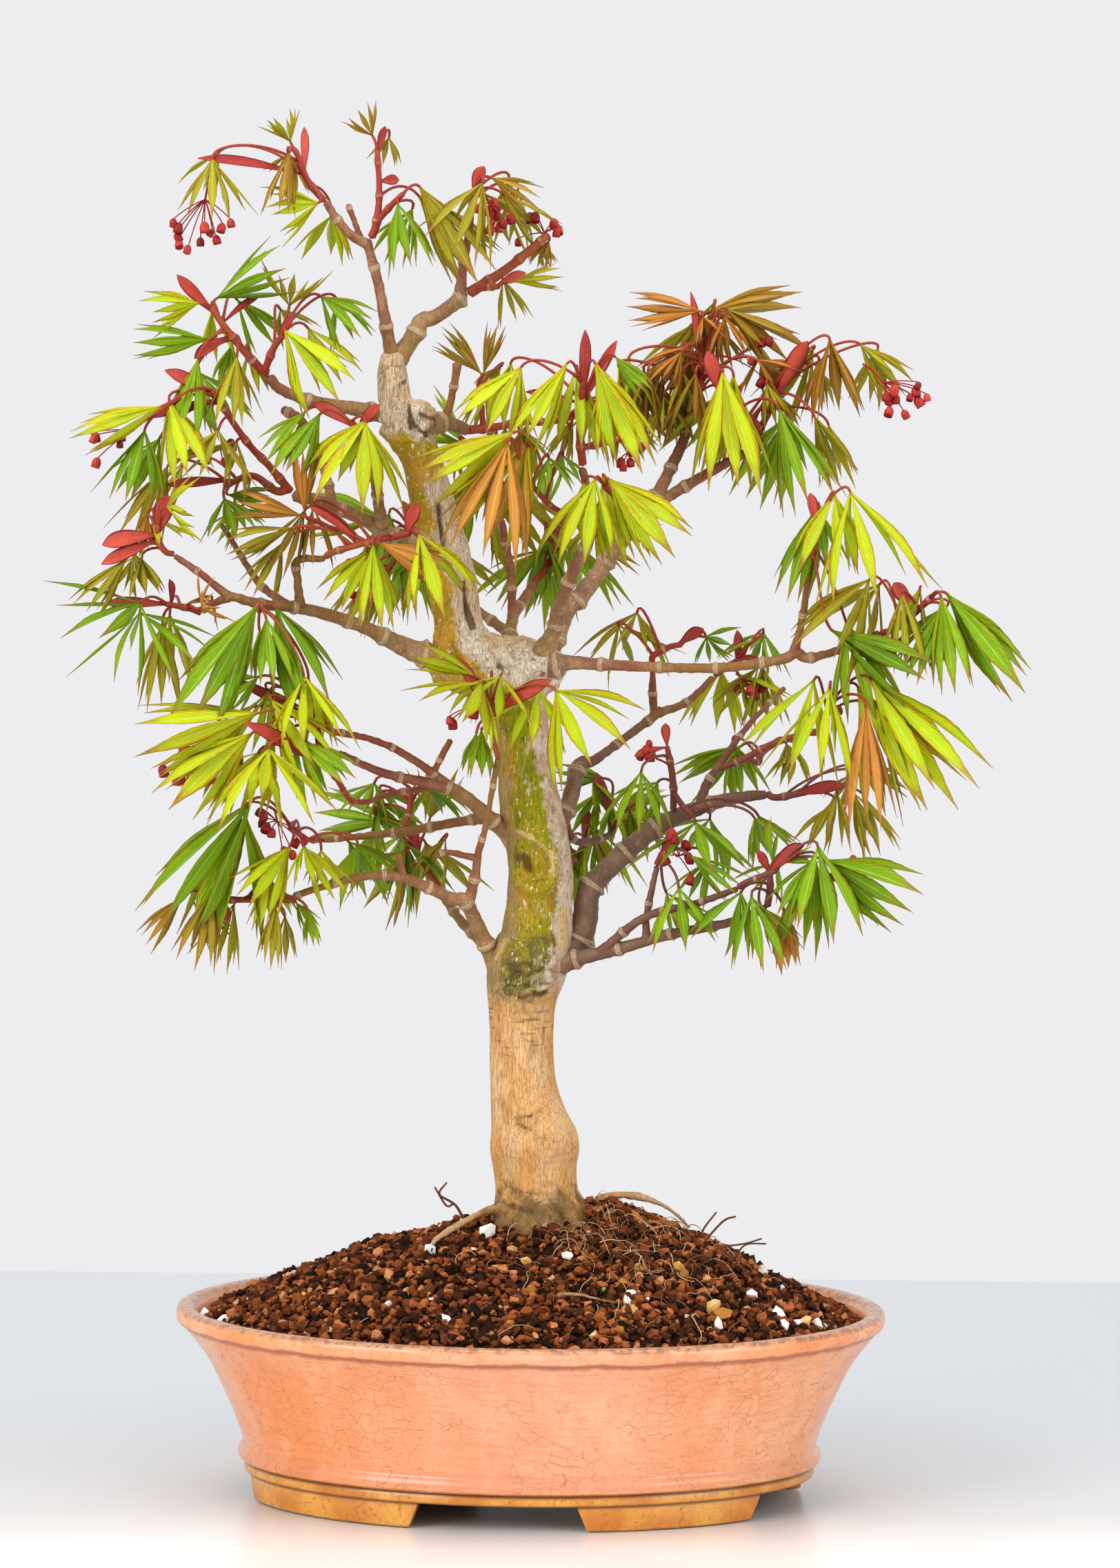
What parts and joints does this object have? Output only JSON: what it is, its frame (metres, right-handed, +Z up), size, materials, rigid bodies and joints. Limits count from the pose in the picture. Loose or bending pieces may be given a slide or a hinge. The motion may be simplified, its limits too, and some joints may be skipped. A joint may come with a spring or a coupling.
{
  "type": "potted bonsai tree",
  "caption": "Maple bonsai with hanging young leaves on a leaning old trunk, rooted in a soil mound in an oval glazed pot on four low feet.",
  "frame": {"origin": "on the table, under the middle of the whole object's outline", "axes": "+Z up, the front of the pot faces -Y, the pot's long side runs along X"},
  "size_m": [0.3916, 0.2447, 0.5843],
  "materials": {
    "glaze": "mottled salmon-orange ceramic glaze, crackled",
    "netting": "dark plastic net",
    "soil": "loose clay and pumice grains",
    "bark": "rough bark, mossy",
    "twig_bark": "thin grey-brown bark",
    "foliage": "soft young leaf"
  },
  "bodies": {
    "root": {"pot": "glaze", "drain_mesh_left": "netting", "drain_mesh_right": "netting", "soil": "soil", "trunk": "bark", "branch_apex_left": "twig_bark", "branch_apex_right": "twig_bark", "branch_back": "twig_bark", "branch_back_low": "twig_bark", "branch_centre": "twig_bark", "branch_left_high": "twig_bark", "branch_left_long": "twig_bark", "branch_left_low": "twig_bark", "branch_left_lower": "twig_bark", "branch_left_upper": "twig_bark", "branch_right_back": "twig_bark", "branch_right_long": "twig_bark", "branch_right_low": "twig_bark", "branch_right_lower": "twig_bark", "branch_right_main": "twig_bark", "branch_top_back": "twig_bark", "shoot_back_left": "foliage", "shoot_back_low_left": "foliage", "shoot_back_low_right": "foliage", "shoot_back_mid": "foliage", "shoot_back_top": "foliage", "shoot_centre_back": "foliage", "shoot_centre_left": "foliage", "shoot_centre_right": "foliage", "shoot_centre_top": "foliage", "shoot_crown_left": "foliage", "shoot_crown_right": "foliage", "shoot_front_pair": "foliage", "shoot_left_front": "foliage", "shoot_left_high_tip": "foliage", "shoot_left_inner": "foliage", "shoot_left_long_front": "foliage", "shoot_left_long_under": "foliage", "shoot_left_outer": "foliage", "shoot_left_whorl": "foliage", "shoot_low_tip": "foliage", "shoot_lower_left_back": "foliage", "shoot_lower_left_front": "foliage", "shoot_lower_left_mid": "foliage", "shoot_lower_left_top": "foliage", "shoot_right_back_out": "foliage", "shoot_right_back_top": "foliage", "shoot_right_crown": "foliage", "shoot_right_front": "foliage", "shoot_right_hanging": "foliage", "shoot_right_inner": "foliage", "shoot_right_low_front": "foliage", "shoot_right_low_mid": "foliage", "shoot_right_low_tip": "foliage", "shoot_right_mid": "foliage", "shoot_right_second": "foliage", "shoot_right_tip": "foliage", "shoot_right_up": "foliage", "shoot_top_right": "foliage", "shoot_top_side": "foliage"}
  },
  "joints": []
}
